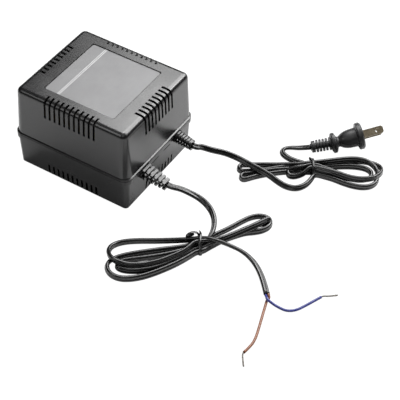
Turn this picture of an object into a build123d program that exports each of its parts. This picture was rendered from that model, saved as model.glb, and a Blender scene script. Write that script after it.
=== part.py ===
from build123d import *
import math
import os

os.makedirs("parts", exist_ok=True)

# ---------------------------------------------------------------- driving dimensions (mm)
# case: +Z up, origin under the middle of the case, leads leave the -Y face
CASE_W, CASE_L, CASE_H = 98.0, 110.0, 77.5      # collar width (X), collar length (Y), height
RIM_Z = 33.7                                    # parting line
COLLAR_Z = 28.0                                 # underside of the collar of the tub
WALL = 2.5
LOW_X, LOW_Y = 47.6, 53.6                       # half sizes of the tub just under the collar
LOW_TAPER = 2.86                                # degrees, tub narrows downwards
UP_X, UP_Y = 48.2, 54.2                         # half sizes of the cover at the parting line
UP_TAPER = 3.07                                 # degrees, cover narrows upwards
UP_R, LOW_R, COLLAR_R = 7.5, 4.7, 7.0           # vertical corner radii
TOP_FILLET = 4.7
SLOT_W, SLOT_W_END, SLOT_PITCH = 1.9, 2.3, 4.634     # side slots, end slots, spacing
SLOT_LOW_Z = 60.2                               # lower end of the cover slots
SLOT_IN_X, SLOT_IN_Y = 38.85, 42.6              # inner ends of the slots on the top face
FOOT_SLOT_Z0, FOOT_SLOT_Z = 1.5, 10.0           # lower and upper ends of the tub slots
LABEL_X, LABEL_Y, LABEL_R, LABEL_T = 65.7, 65.0, 2.0, 0.30
RECESS = 1.0
POST_X, POST_Y = 40.2, 46.2                     # case screw posts

# transformer core (E and I sheets, tongue 25.4)
STACK = 42.0
TONGUE = 25.4
CORE_Z = 5.0
CORE_L = 76.2
YOKE = 12.7
WINDOW_H = 38.1
SHEET = 1.2                                     # bracket sheet

# cords
CORD_W, CORD_T = 5.0, 2.9                       # flat cord section
TUBE_D = 4.6                                    # plain tube that stands for it
WIRE_D, STRAND_D = 2.1, 1.25
HANK_Z0 = 0.9                                   # ties run below the hanks

# strain reliefs
MAINS_X, OUT_X = 24.6, -22.5
FACE_Y = -54.5

# plug
BLADE_W, BLADE_T, BLADE_LEN, BLADE_GAP, BLADE_HOLE = 6.35, 1.5, 17.1, 12.7, 3.2
PLUG_LEN = 44.9


# ---------------------------------------------------------------- lower case (tub)
with BuildPart() as lower_case:
    with BuildSketch(Plane.XY.offset(COLLAR_Z)):
        RectangleRounded(2 * LOW_X, 2 * LOW_Y, LOW_R)
    extrude(amount=COLLAR_Z, dir=(0, 0, -1), taper=LOW_TAPER)
    fillet(lower_case.faces().sort_by(Axis.Z)[0].edges(), 0.8)
    # collar at the parting line, a little proud of both halves
    with BuildSketch(Plane.XY.offset(COLLAR_Z - 0.4)):
        RectangleRounded(CASE_W, CASE_L, COLLAR_R)
    extrude(amount=RIM_Z - COLLAR_Z + 0.4)
    chamfer(lower_case.faces().filter_by(Plane.XY).sort_by(Axis.Z)[-2].outer_wire().edges(), 0.7)
    lip = lower_case.faces().sort_by(Axis.Z)[-1]
    chamfer(lip.edges(), 1.05, 0.55, reference=lip)
    # thin groove under the lip of the collar
    with BuildSketch(Plane.XY.offset(31.7)):
        RectangleRounded(CASE_W + 4, CASE_L + 4, COLLAR_R + 2)
        RectangleRounded(CASE_W - 1.1, CASE_L - 1.1, COLLAR_R - 0.55, mode=Mode.SUBTRACT)
    extrude(amount=0.6, mode=Mode.SUBTRACT)
    # hollow
    with BuildSketch(Plane.XY.offset(COLLAR_Z)):
        RectangleRounded(2 * (LOW_X - WALL), 2 * (LOW_Y - WALL), LOW_R - WALL)
    extrude(amount=COLLAR_Z - WALL, dir=(0, 0, -1), taper=LOW_TAPER, mode=Mode.SUBTRACT)
    with BuildSketch(Plane.XY.offset(COLLAR_Z)):
        RectangleRounded(2 * (LOW_X - WALL), 2 * (LOW_Y - WALL), LOW_R - WALL)
    extrude(amount=RIM_Z - COLLAR_Z, mode=Mode.SUBTRACT)
    # tongue that registers inside the cover
    with BuildSketch(Plane.XY.offset(RIM_Z)):
        RectangleRounded(2 * 45.4, 2 * 51.4, 4.9)
        RectangleRounded(2 * 44.2, 2 * 50.2, 3.7, mode=Mode.SUBTRACT)
    extrude(amount=2.8)
    with BuildSketch(Plane.XY.offset(RIM_Z - 2.5)):
        RectangleRounded(2 * 45.2, 2 * 51.2, 4.8)
        RectangleRounded(2 * 44.2, 2 * 50.2, 3.7, mode=Mode.SUBTRACT)
    extrude(amount=2.5)
    # posts for the case screws, with deep head wells from below
    with BuildSketch(Plane.XY.offset(WALL - 0.5)):
        with GridLocations(2 * POST_X, 2 * POST_Y, 2, 2):
            Circle(4.2)
    extrude(amount=RIM_Z - 2.0 - WALL)
    with BuildSketch(Plane.XY):
        with GridLocations(2 * POST_X, 2 * POST_Y, 2, 2):
            Circle(3.3)
    extrude(amount=20.0, mode=Mode.SUBTRACT)
    with BuildSketch(Plane.XY):
        with GridLocations(2 * POST_X, 2 * POST_Y, 2, 2):
            Circle(1.75)
    extrude(amount=40.0, mode=Mode.SUBTRACT)
    # rails under the core and bosses under the bracket feet
    with BuildSketch(Plane.XY.offset(WALL - 0.5)):
        with Locations((-15, 0), (15, 0)):
            Rectangle(3.0, 64.0)
        with Locations((0, 43.6), (0, -43.6)):
            Circle(3.3)
    extrude(amount=CORE_Z - WALL + 0.5)
    with BuildSketch(Plane.XY.offset(CORE_Z)):
        with Locations((0, 43.6), (0, -43.6)):
            Circle(1.5)
    extrude(amount=3.9, dir=(0, 0, -1), mode=Mode.SUBTRACT)
    # vent slots in the foot, stopping just above the bottom edge
    with BuildSketch(Plane.XY.offset(FOOT_SLOT_Z0)):
        for sx in (-1, 1):
            with Locations((sx * 50.0, 0)):
                with GridLocations(1, SLOT_PITCH, 1, 11):
                    Rectangle(16.0, SLOT_W)
        for sy in (-1, 1):
            with Locations((0, sy * 56.0)):
                with GridLocations(SLOT_PITCH, 1, 9, 1):
                    Rectangle(SLOT_W, 16.0)
    extrude(amount=FOOT_SLOT_Z - FOOT_SLOT_Z0, mode=Mode.SUBTRACT)
    # latch slits below the collar on the lead face
    with BuildSketch(Plane.XZ.offset(52.9)):
        with Locations((10.1, 24.7), (-6.2, 24.4)):
            Rectangle(9.6, 0.9)
    extrude(amount=6.0, mode=Mode.SUBTRACT)
    # openings for the strain reliefs
    with BuildSketch(Plane.XZ.offset(45.0)):
        with Locations((OUT_X, 25.6)):
            RectangleRounded(11.2, 9.8, 0.5)
        with Locations((MAINS_X, 26.5)):
            RectangleRounded(11.0, 10.2, 4.2)
    extrude(amount=15.0, mode=Mode.SUBTRACT)
lower_case.part.label = "lower_case"
export_step(lower_case.part, "parts/lower_case.step")

# ---------------------------------------------------------------- upper case (cover)
with BuildPart() as upper_case:
    with BuildSketch(Plane.XY.offset(RIM_Z)):
        RectangleRounded(2 * UP_X, 2 * UP_Y, UP_R)
    extrude(amount=CASE_H - RIM_Z, taper=UP_TAPER)
    fillet(upper_case.faces().sort_by(Axis.Z)[-1].edges(), TOP_FILLET)
    chamfer(upper_case.faces().sort_by(Axis.Z)[0].edges(), 0.45)
    with BuildSketch(Plane.XY.offset(RIM_Z)):
        RectangleRounded(2 * (UP_X - WALL), 2 * (UP_Y - WALL), UP_R - WALL)
    extrude(amount=CASE_H - RIM_Z - WALL, taper=UP_TAPER, mode=Mode.SUBTRACT)
    # screw posts
    with BuildSketch(Plane.XY.offset(RIM_Z - 1.6)):
        with GridLocations(2 * POST_X, 2 * POST_Y, 2, 2):
            Circle(3.6)
    extrude(amount=CASE_H - RIM_Z - 1.0)
    with BuildSketch(Plane.XY.offset(RIM_Z - 2)):
        with GridLocations(2 * POST_X, 2 * POST_Y, 2, 2):
            Circle(1.55)
    extrude(amount=22.0, mode=Mode.SUBTRACT)
    # label recess
    with BuildSketch(Plane.XY.offset(CASE_H - RECESS)):
        with Locations((0, -0.3)):
            RectangleRounded(LABEL_X + 0.8, LABEL_Y + 1.4, 1.2)
    extrude(amount=2.0, mode=Mode.SUBTRACT)
    # vent slots, from the top face over the edge and down the sides
    with BuildSketch(Plane.XY.offset(SLOT_LOW_Z)):
        for sx in (-1, 1):
            with Locations((sx * (SLOT_IN_X + 10.0), 0)):
                with GridLocations(1, SLOT_PITCH, 1, 11):
                    Rectangle(20.0, SLOT_W)
        for sy in (-1, 1):
            with Locations((0, sy * (SLOT_IN_Y + 10.0))):
                with GridLocations(SLOT_PITCH, 1, 9, 1):
                    Rectangle(SLOT_W_END, 20.0)
    extrude(amount=30.0, mode=Mode.SUBTRACT)
upper_case.part.label = "upper_case"
export_step(upper_case.part, "parts/upper_case.step")

# ---------------------------------------------------------------- rating label
with BuildPart() as rating_label:
    with BuildSketch(Plane.XY.offset(CASE_H - RECESS)):
        RectangleRounded(LABEL_X, LABEL_Y, LABEL_R)
    extrude(amount=LABEL_T)
rating_label.part.label = "rating_label"
export_step(rating_label.part, "parts/rating_label.step")

# ---------------------------------------------------------------- case screws (four, from below)
with BuildPart() as case_screws:
    with BuildSketch(Plane.XY.offset(17.6)):
        with GridLocations(2 * POST_X, 2 * POST_Y, 2, 2):
            Circle(2.9)
    extrude(amount=2.4)
    with BuildSketch(Plane.XY.offset(20.0)):
        with GridLocations(2 * POST_X, 2 * POST_Y, 2, 2):
            Circle(1.5)
    extrude(amount=28.0)
    with BuildSketch(Plane.XY.offset(17.6)):
        with GridLocations(2 * POST_X, 2 * POST_Y, 2, 2):
            Rectangle(3.4, 0.8)
            Rectangle(0.8, 3.4)
    extrude(amount=1.3, mode=Mode.SUBTRACT)
case_screws.part.label = "case_screws"
export_step(case_screws.part, "parts/case_screws.step")

# ---------------------------------------------------------------- core
E_TOP = CORE_Z + YOKE + WINDOW_H
with BuildPart() as core_e_stack:
    with BuildSketch(Plane.YZ.offset(-STACK / 2)):
        with Locations((0, CORE_Z + (YOKE + WINDOW_H) / 2)):
            Rectangle(CORE_L, YOKE + WINDOW_H)
        with Locations((TONGUE / 2 + YOKE / 2, CORE_Z + YOKE + WINDOW_H / 2),
                       (-TONGUE / 2 - YOKE / 2, CORE_Z + YOKE + WINDOW_H / 2)):
            Rectangle(YOKE, WINDOW_H, mode=Mode.SUBTRACT)
    extrude(amount=STACK)
core_e_stack.part.label = "core_e_stack"
export_step(core_e_stack.part, "parts/core_e_stack.step")

with BuildPart() as core_i_stack:
    with BuildSketch(Plane.YZ.offset(-STACK / 2)):
        with Locations((0, E_TOP + YOKE / 2)):
            Rectangle(CORE_L, YOKE)
    extrude(amount=STACK)
core_i_stack.part.label = "core_i_stack"
export_step(core_i_stack.part, "parts/core_i_stack.step")

# clamp: sheet channel over the core, feet turned out at the bottom
CORE_TOP = E_TOP + YOKE
with BuildPart() as core_bracket:
    with BuildSketch(Plane.YZ.offset(-STACK / 2 + 2)):
        with BuildLine():
            a, b = CORE_L / 2, CORE_L / 2 + SHEET
            Polyline((-47, CORE_Z), (-a, CORE_Z), (-a, CORE_TOP), (a, CORE_TOP), (a, CORE_Z), (47, CORE_Z),
                     (47, CORE_Z + SHEET), (b, CORE_Z + SHEET), (b, CORE_TOP + SHEET),
                     (-b, CORE_TOP + SHEET), (-b, CORE_Z + SHEET), (-47, CORE_Z + SHEET), close=True)
        make_face()
    extrude(amount=STACK - 4)
    with BuildSketch(Plane.XY.offset(CORE_Z - 1)):
        with Locations((0, 43.6), (0, -43.6)):
            Circle(1.7)
    extrude(amount=4, mode=Mode.SUBTRACT)
core_bracket.part.label = "core_bracket"
export_step(core_bracket.part, "parts/core_bracket.step")

with BuildPart() as bracket_screws:
    with BuildSketch(Plane.XY.offset(CORE_Z + SHEET)):
        with Locations((0, 43.6), (0, -43.6)):
            Circle(2.8)
    extrude(amount=2.0)
    with BuildSketch(Plane.XY.offset(1.5)):
        with Locations((0, 43.6), (0, -43.6)):
            Circle(1.45)
    extrude(amount=CORE_Z + SHEET - 1.5)
    with BuildSketch(Plane.XY.offset(CORE_Z + SHEET + 2.0)):
        with Locations((0, 43.6), (0, -43.6)):
            Rectangle(3.2, 0.8)
            Rectangle(0.8, 3.2)
    extrude(amount=1.1, dir=(0, 0, -1), mode=Mode.SUBTRACT)
bracket_screws.part.label = "bracket_screws"
export_step(bracket_screws.part, "parts/bracket_screws.step")

# ---------------------------------------------------------------- coil
BZ0, BZ1 = CORE_Z + YOKE + 0.2, E_TOP - 0.2
TUBE_X, TUBE_Y = STACK + 2.8, TONGUE + 2.8
FL = 1.2
MID = (BZ0 + BZ1) / 2
with BuildPart() as bobbin:
    with BuildSketch(Plane.XY.offset(BZ0)):
        RectangleRounded(TUBE_X, TUBE_Y, 1.4)
    extrude(amount=BZ1 - BZ0)
    for z in (BZ0, MID - FL / 2, BZ1 - FL):
        with BuildSketch(Plane.XY.offset(z)):
            RectangleRounded(67.0, 49.8, 2.0)
        extrude(amount=FL)
    with BuildSketch(Plane.XY.offset(BZ0)):
        Rectangle(STACK + 0.4, TONGUE + 0.4)
    extrude(amount=BZ1 - BZ0, mode=Mode.SUBTRACT)
bobbin.part.label = "bobbin"
export_step(bobbin.part, "parts/bobbin.step")

with BuildPart() as secondary_winding:
    with BuildSketch(Plane.XY.offset(BZ0 + FL)):
        RectangleRounded(64.8, 47.6, 8.0)
        RectangleRounded(TUBE_X, TUBE_Y, 1.4, mode=Mode.SUBTRACT)
    extrude(amount=MID - FL / 2 - BZ0 - FL)
secondary_winding.part.label = "secondary_winding"
export_step(secondary_winding.part, "parts/secondary_winding.step")

with BuildPart() as primary_winding:
    with BuildSketch(Plane.XY.offset(MID + FL / 2)):
        RectangleRounded(64.8, 47.6, 8.0)
        RectangleRounded(TUBE_X, TUBE_Y, 1.4, mode=Mode.SUBTRACT)
    extrude(amount=BZ1 - FL - MID - FL / 2)
primary_winding.part.label = "primary_winding"
export_step(primary_winding.part, "parts/primary_winding.step")

with BuildPart() as secondary_tape:
    with BuildSketch(Plane.XY.offset(BZ0 + FL)):
        RectangleRounded(65.8, 48.6, 8.5)
        RectangleRounded(64.8, 47.6, 8.0, mode=Mode.SUBTRACT)
    extrude(amount=MID - FL / 2 - BZ0 - FL)
secondary_tape.part.label = "secondary_tape"
export_step(secondary_tape.part, "parts/secondary_tape.step")

with BuildPart() as primary_tape:
    with BuildSketch(Plane.XY.offset(MID + FL / 2)):
        RectangleRounded(65.8, 48.6, 8.5)
        RectangleRounded(64.8, 47.6, 8.0, mode=Mode.SUBTRACT)
    extrude(amount=BZ1 - FL - MID - FL / 2)
primary_tape.part.label = "primary_tape"
export_step(primary_tape.part, "parts/primary_tape.step")

# thermal cut-out lying on the primary wrap
with BuildPart() as thermal_fuse:
    with BuildSketch(Plane.XZ.offset(-9.5)):
        with Locations((34.9, 49.0)):
            Circle(0.5)
    extrude(amount=19.0)
    with BuildSketch(Plane.XZ.offset(-5.5)):
        with Locations((34.9, 49.0)):
            Circle(1.95)
    extrude(amount=11.0)
    chamfer(thermal_fuse.edges().filter_by(GeomType.CIRCLE).filter_by(lambda e: e.radius > 1.5), 0.6)
thermal_fuse.part.label = "thermal_fuse"
export_step(thermal_fuse.part, "parts/thermal_fuse.step")


# ---------------------------------------------------------------- round leads: straight runs, tangent arcs
def corner_radii(points):
    """Largest even arc at each corner: 0.45 of the shorter run over the tangent of half the turn."""
    out = []
    for p, q, r in zip(points, points[1:], points[2:]):
        u, v = Vector(*q) - Vector(*p), Vector(*r) - Vector(*q)
        turn = math.radians(u.get_angle(v))
        out.append(0.45 * min(u.length, v.length) / math.tan(turn / 2))
    return out


def lead(points, dia, name):
    """Round tube along the route; prints its radii and compares its volume."""
    radii = corner_radii(points)
    with BuildPart() as tube:
        with BuildLine() as path:
            FilletPolyline(*points, radius=radii)
        start = Vector(*points[1]) - Vector(*points[0])
        with BuildSketch(Plane(origin=points[0], z_dir=start)):
            Circle(dia / 2)
        sweep(path=path.wires()[0], transition=Transition.TRANSFORMED)
    length = path.wires()[0].length
    want = math.pi * dia * dia / 4 * length
    print(f"{name}: length {length:.1f}, volume/section*length {tube.part.volume / want:.4f}, radii",
          [round(r, 1) for r in radii])
    return tube.part


# cord cores and coil leads inside the case, ending side by side in closed crimp caps
MAINS_CAPS = ((20.0, -45.6), (29.2, -45.6))
OUT_CAPS = ((-17.9, -45.6), (-27.1, -45.6))
CAP_Z = 39.0
LEAD_D = 1.8
with BuildPart() as mains_splices:
    with BuildSketch(Plane.XY.offset(CAP_Z)):
        with Locations(*MAINS_CAPS):
            Circle(2.6)
    extrude(amount=13.0)
    with BuildSketch(Plane.XY.offset(CAP_Z)):
        with Locations(*MAINS_CAPS):
            Circle(1.95)
    extrude(amount=11.0, mode=Mode.SUBTRACT)
mains_splices.part.label = "mains_splices"
export_step(mains_splices.part, "parts/mains_splices.step")

with BuildPart() as output_splices:
    with BuildSketch(Plane.XY.offset(CAP_Z)):
        with Locations(*OUT_CAPS):
            Circle(2.6)
    extrude(amount=13.0)
    with BuildSketch(Plane.XY.offset(CAP_Z)):
        with Locations(*OUT_CAPS):
            Circle(1.95)
    extrude(amount=11.0, mode=Mode.SUBTRACT)
output_splices.part.label = "output_splices"
export_step(output_splices.part, "parts/output_splices.step")

inner = []
for side, (cx, cy) in zip((-1, 1), MAINS_CAPS):
    x = MAINS_X + side * 1.4
    inner.append(lead([(x, -48.4, 26.5), (x, -46.9, 26.5), (cx, -46.8, 31.0), (cx, cy - 0.97, 36.0),
                       (cx, cy - 0.96, 45.0)], LEAD_D, "mains_inner_wire"))
with BuildPart() as mains_inner_wires:
    add(inner)
mains_inner_wires.part.label = "mains_inner_wires"
export_step(mains_inner_wires.part, "parts/mains_inner_wires.step")

inner = []
for side, (cx, cy) in zip((1, -1), OUT_CAPS):
    x = OUT_X + side * 1.4
    inner.append(lead([(x, -48.4, 25.6), (x, -46.9, 25.6), (cx, -46.8, 30.5), (cx, cy - 0.97, 36.0),
                       (cx, cy - 0.96, 45.0)], LEAD_D, "output_inner_wire"))
with BuildPart() as output_inner_wires:
    add(inner)
output_inner_wires.part.label = "output_inner_wires"
export_step(output_inner_wires.part, "parts/output_inner_wires.step")

coil = []
for (cx, cy), z in zip(MAINS_CAPS, (44.5, 41.0)):
    coil.append(lead([(33.9, -8.0, z), (34.0, -20.0, z), (33.9, -31.0, z - 1.0), (cx + 3.6, -41.6, 36.5),
                      (cx + 0.4, -43.4, 33.4), (cx, cy + 0.97, 37.0), (cx, cy + 0.96, 44.0)],
                     LEAD_D, "primary_lead"))
with BuildPart() as primary_leads:
    add(coil)
primary_leads.part.label = "primary_leads"
export_step(primary_leads.part, "parts/primary_leads.step")

coil = []
for (cx, cy), z in zip(OUT_CAPS, (33.0, 29.5)):
    coil.append(lead([(-33.9, -8.0, z), (-34.0, -20.0, z), (-33.9, -31.0, z + 0.6), (cx - 3.6, -41.6, 34.5),
                      (cx - 0.4, -43.4, 33.4), (cx, cy + 0.97, 37.0), (cx, cy + 0.96, 44.0)],
                     LEAD_D, "secondary_lead"))
with BuildPart() as secondary_leads:
    add(coil)
secondary_leads.part.label = "secondary_leads"
export_step(secondary_leads.part, "parts/secondary_leads.step")


# ---------------------------------------------------------------- strain reliefs
def relief(x0, z0, droop, w0, dw, h0, dh, corner, pitch, rib, block, split, count, name):
    """Flange behind the wall, neck through it, then a tapering core with cross bars above and below it
    and side blocks half a step between them; bars and blocks lean along the drooping axis."""
    def size(s):
        return w0 - dw * s, h0 - dh * s, z0 - droop * s

    tip = 1.5 + (count - 1) * pitch + rib / 2 + 0.4
    lean, slant = (0, -1, -droop), math.hypot(1, droop)
    with BuildPart() as body:
        with BuildSketch(Plane.XZ.offset(48.4)):
            with Locations((x0, z0)):
                RectangleRounded(w0 + 3.6, h0 + 3.0, 1.5)
        extrude(amount=1.7)
        with BuildSketch(Plane.XZ.offset(50.1)):
            with Locations((x0, z0)):
                RectangleRounded(w0 - 0.3, h0 - 0.3, corner)
        extrude(amount=-FACE_Y - 50.1 + 0.3)
        w1, h1, z1 = size(0)
        w2, h2, z2 = size(tip)
        with BuildSketch(Plane.XZ.offset(-FACE_Y)):
            with Locations((x0, z1)):
                RectangleRounded(w1 - 4.4, h1 - 4.0, 1.6)
        with BuildSketch(Plane.XZ.offset(-FACE_Y + tip)):
            with Locations((x0, z2)):
                RectangleRounded(w2 - 2.4, h2 - 2.2, 1.6)
        loft()
        for k in range(count):
            s = 1.5 + k * pitch
            w, h, z = size(s)
            t = rib / 2 + (0.4 if k == count - 1 else 0.0)
            with BuildSketch(Plane.XZ.offset(-FACE_Y + s - rib / 2)):
                with Locations((x0, z + droop * rib / 2)):
                    RectangleRounded(w, h, corner * w / w0)
                    Rectangle(w + 2, split * h, mode=Mode.SUBTRACT)
            extrude(amount=(rib / 2 + t) * slant, dir=lean)
            if k == 0:
                continue
            wq, hq, zq = size(s - pitch / 2)
            with BuildSketch(Plane.XZ.offset(-FACE_Y + s - pitch / 2 - block / 2)):
                with Locations((x0, zq + droop * block / 2)):
                    RectangleRounded(wq - 0.3, hq, corner * wq / w0)
                    Rectangle(wq + 2, (split - 0.1) * hq, mode=Mode.INTERSECT)
            extrude(amount=block * slant, dir=lean)
    print(name, "tip at", (x0, FACE_Y - tip, round(z2, 2)))
    return body.part


OUT_ROW = dict(x0=OUT_X, z0=25.6, droop=0.22, w0=11.2, dw=0.17, h0=9.8, dh=0.16, corner=0.5,
               pitch=3.5, rib=1.9, block=1.7, split=0.42, count=6)
MAINS_ROW = dict(x0=MAINS_X, z0=26.5, droop=0.21, w0=11.0, dw=0.20, h0=10.2, dh=0.17, corner=4.1,
                 pitch=2.4, rib=1.3, block=1.15, split=0.36, count=6)
with BuildPart() as output_strain_relief:
    add(relief(name="output_strain_relief", **OUT_ROW))
output_strain_relief.part.label = "output_strain_relief"
export_step(output_strain_relief.part, "parts/output_strain_relief.step")

with BuildPart() as mains_strain_relief:
    add(relief(name="mains_strain_relief", **MAINS_ROW))
mains_strain_relief.part.label = "mains_strain_relief"
export_step(mains_strain_relief.part, "parts/mains_strain_relief.step")

OUT_TIP = (OUT_X, FACE_Y - (1.5 + 5 * 3.5 + 0.95 + 0.4), 25.6 - 0.22 * (1.5 + 5 * 3.5 + 0.95 + 0.4))
MAINS_TIP = (MAINS_X, FACE_Y - (1.5 + 5 * 2.4 + 0.65 + 0.4), 26.5 - 0.21 * (1.5 + 5 * 2.4 + 0.65 + 0.4))

# ---------------------------------------------------------------- output cord: lead, hank, tail
OUT_LEAD = [
    OUT_TIP, (OUT_X, -79.0, OUT_TIP[2]), (-20.9, -84.2, 19.2), (-17.2, -89.2, 15.0), (-13.4, -94.6, 10.2),
    (-11.9, -101.4, 6.0), (-14.9, -110.5, 3.7), (-22.3, -117.2, 3.2), (-30.2, -121.4, 3.2), (-38.9, -123.7, 3.2),
]
with BuildPart() as output_cord_lead:
    add(lead(OUT_LEAD, TUBE_D, "output_cord_lead"))
output_cord_lead.part.label = "output_cord_lead"
export_step(output_cord_lead.part, "parts/output_cord_lead.step")

OUT_HANK = [
    (-47.0, -117.7), (-53.4, -104.8), (-60.6, -93.0), (-68.2, -82.2), (-75.0, -73.6), (-84.0, -67.0),
    (-94.5, -65.0), (-105.0, -68.6), (-112.6, -75.2), (-116.4, -84.0), (-115.2, -93.4), (-109.0, -101.8),
    (-100.0, -108.2), (-88.0, -113.4), (-72.0, -119.4), (-57.4, -124.5), (-54.6, -128.7), (-50.5, -134.2),
    (-43.8, -141.5), (-33.4, -141.5), (-24.0, -152.4), (-15.0, -160.0), (-4.5, -162.6), (5.0, -158.6),
    (8.0, -149.6), (3.4, -140.6), (-7.2, -134.6), (-23.5, -130.4), (-37.6222, -128.5333), (-40.1778, -118.8667),
    (-44.2, -121.9),
]
with BuildPart() as output_cord_hank:
    with BuildSketch(Plane.XY.offset(HANK_Z0)) as outline:
        with BuildLine():
            Polyline(*OUT_HANK, close=True)
        make_face()
    extrude(amount=8.7)
output_cord_hank.part.label = "output_cord_hank"
export_step(output_cord_hank.part, "parts/output_cord_hank.step")

OUT_TAIL = [
    (-38.6, -141.5, 3.2), (-38.6, -149.2, 3.2), (-40.4, -160.2, 2.7), (-46.8, -171.6, 2.6),
    (-54.9, -181.4, 2.6), (-62.7, -189.4, 2.6),
]
with BuildPart() as output_cord_tail:
    add(lead(OUT_TAIL, TUBE_D, "output_cord_tail"))
output_cord_tail.part.label = "output_cord_tail"
export_step(output_cord_tail.part, "parts/output_cord_tail.step")

# the two cores past the cut jacket, and their stripped ends
BLUE = [
    (-63.488, -188.632, 2.6), (-64.395, -189.563, 2.6), (-65.9, -191, 3.3), (-67.5, -192, 3.75), (-68, -197.4, 2.2), (-67.8, -202.3, 1.2),
    (-67.6, -208.8, 1.15), (-63.2, -214.5, 1.15), (-54.8, -218.5, 1.15), (-47.4, -221.6, 1.15), (-41.7, -224.1, 1.15),
]
BLUE_END = [(-41.7, -224.1, 1.15), (-39.87, -224.9, 1.15), (-38, -228.7, 1.15), (-33.3, -233.8, 1.15)]
BROWN = [
    (-61.912, -190.168, 2.6), (-62.82, -191.1, 2.6), (-64.2, -192.3, 1.7), (-66.2, -191.6, 1.15), (-72, -193.4, 1.15), (-80, -195.8, 1.15),
    (-90.2, -199, 1.15), (-102.1, -202.5, 1.15), (-109.7, -203, 1.15), (-117.5, -201.6, 1.15),
]
BROWN_END = [(-117.5, -201.6, 1.15), (-118.78, -201.37, 1.15), (-122.6, -203.7, 1.15), (-128.3, -207.8, 1.15)]
with BuildPart() as blue_wire:
    add(lead(BLUE, WIRE_D, "blue_wire"))
blue_wire.part.label = "blue_wire"
export_step(blue_wire.part, "parts/blue_wire.step")
with BuildPart() as brown_wire:
    add(lead(BROWN, WIRE_D, "brown_wire"))
brown_wire.part.label = "brown_wire"
export_step(brown_wire.part, "parts/brown_wire.step")
with BuildPart() as blue_wire_end:
    add(lead(BLUE_END, STRAND_D, "blue_wire_end"))
blue_wire_end.part.label = "blue_wire_end"
export_step(blue_wire_end.part, "parts/blue_wire_end.step")
with BuildPart() as brown_wire_end:
    add(lead(BROWN_END, STRAND_D, "brown_wire_end"))
brown_wire_end.part.label = "brown_wire_end"
export_step(brown_wire_end.part, "parts/brown_wire_end.step")

# ---------------------------------------------------------------- plug: a bent sleeve, then the grip
SLEEVE = (93.7, -142.2, 5.45)                     # cord end of the sleeve
COLLAR = (105.9, -157.28, 8.6)                    # middle of the collar, where sleeve and grip meet
PLUG_AXIS = (0.6593, -0.7197, 0.2175)             # grip, towards the blades
BLADE_SIDE = (-0.635, -0.233, 0.742)              # across the two blades
COLLAR_S = 20.2                                   # collar along the grip axis
_b = (Vector(*COLLAR) - Vector(*SLEEVE)).normalized()
_a = Vector(*PLUG_AXIS).normalized()
_n = Vector(*BLADE_SIDE)
_n = (_n - _a * _n.dot(_a)).normalized()
PLUG = Plane(origin=Vector(*COLLAR) - _a * COLLAR_S, x_dir=_n, z_dir=_a)

RIB_S = [(4.85, 6.35), (7.5, 9.0), (10.2, 11.7), (12.85, 14.35)]
with BuildPart() as sleeve:
    with BuildSketch(Plane.XZ):
        with BuildLine():
            pts = [(0, 0), (2.9, 0), (2.9, 0.9), (4.6, 0.9), (4.9, 1.3), (4.9, 3.7), (2.7, 3.8)]
            for s0, s1 in RIB_S:
                pts += [(2.7, s0), (5.2, s0), (5.2, s1), (2.7, s1)]
            pts += [(2.7, 15.6), (5.4, 15.8), (5.4, 17.6), (3.6, 19.0), (0, 19.0), (0, 0)]
            Polyline(*pts)
        make_face()
    revolve(axis=Axis.Z)
sleeve.part.locate(Plane(origin=SLEEVE, z_dir=_b).location)
with BuildPart() as grip:
    with BuildSketch(Plane.XZ):
        with BuildLine():
            Polyline((0, 17.2), (4.6, 17.4), (6.6, 18.0), (8.2, 18.7), (8.6, 19.4), (8.6, 21.0), (8.2, 21.7),
                     (6.6, 22.5), (4.7, 23.3), (4.3, 24.4))
            Spline((4.3, 24.4), (5.5, 26.4), (7.0, 29.8), (7.75, 33.8), (7.95, 37.2), (8.2, 39.4),
                   tangents=((0.35, 1), (0.2, 1)))
            Polyline((8.2, 39.4), (10.8, 40.3), (11.35, 40.9), (11.35, 43.7), (10.2, PLUG_LEN), (0, PLUG_LEN), (0, 17.2))
        make_face()
    revolve(axis=Axis.Z)
    with BuildSketch(Plane.XY.offset(PLUG_LEN - 8)):
        with GridLocations(BLADE_GAP, 1, 2, 1):
            Rectangle(BLADE_T, BLADE_W)
    extrude(amount=10, mode=Mode.SUBTRACT)
grip.part.locate(PLUG.location)
with BuildPart() as plug_body:
    add(sleeve.part)
    add(grip.part)
plug_body.part.label = "plug_body"
export_step(plug_body.part, "parts/plug_body.step")

with BuildPart() as plug_blades:
    with BuildSketch(Plane.XY.offset(PLUG_LEN - 8)):
        with GridLocations(BLADE_GAP, 1, 2, 1):
            Rectangle(BLADE_T, BLADE_W)
    extrude(amount=8 + BLADE_LEN)
    chamfer(plug_blades.edges().filter_by(Axis.X).group_by(Axis.Z)[-1], 1.3)
    with BuildSketch(Plane.YZ.offset(-20)):
        with Locations((0, PLUG_LEN + 11.9)):
            Circle(BLADE_HOLE / 2)
    extrude(amount=40, mode=Mode.SUBTRACT)
plug_blades.part.locate(PLUG.location)
plug_blades.part.label = "plug_blades"
export_step(plug_blades.part, "parts/plug_blades.step")

# ---------------------------------------------------------------- mains cord: lead, hank, tail
MAINS_LEAD = [
    MAINS_TIP, (MAINS_X, -73.0, MAINS_TIP[2]), (26.0, -78.2, 22.0), (29.6, -84.6, 19.2), (35.0, -91.8, 16.2),
    (40.2, -100.4, 13.8), (42.6, -110.6, 13.2), (42.2, -121.0, 12.8), (41.0, -131.4, 9.0), (41.4, -141.0, 4.6),
    (44.2, -149.8, 3.2), (49.4, -156.2, 3.2), (55.0, -158.7, 3.2), (60.665, -157.603, 3.2), (66.0737, -153.9979, 3.2),
]
with BuildPart() as mains_cord_lead:
    add(lead(MAINS_LEAD, TUBE_D, "mains_cord_lead"))
mains_cord_lead.part.label = "mains_cord_lead"
export_step(mains_cord_lead.part, "parts/mains_cord_lead.step")

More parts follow.
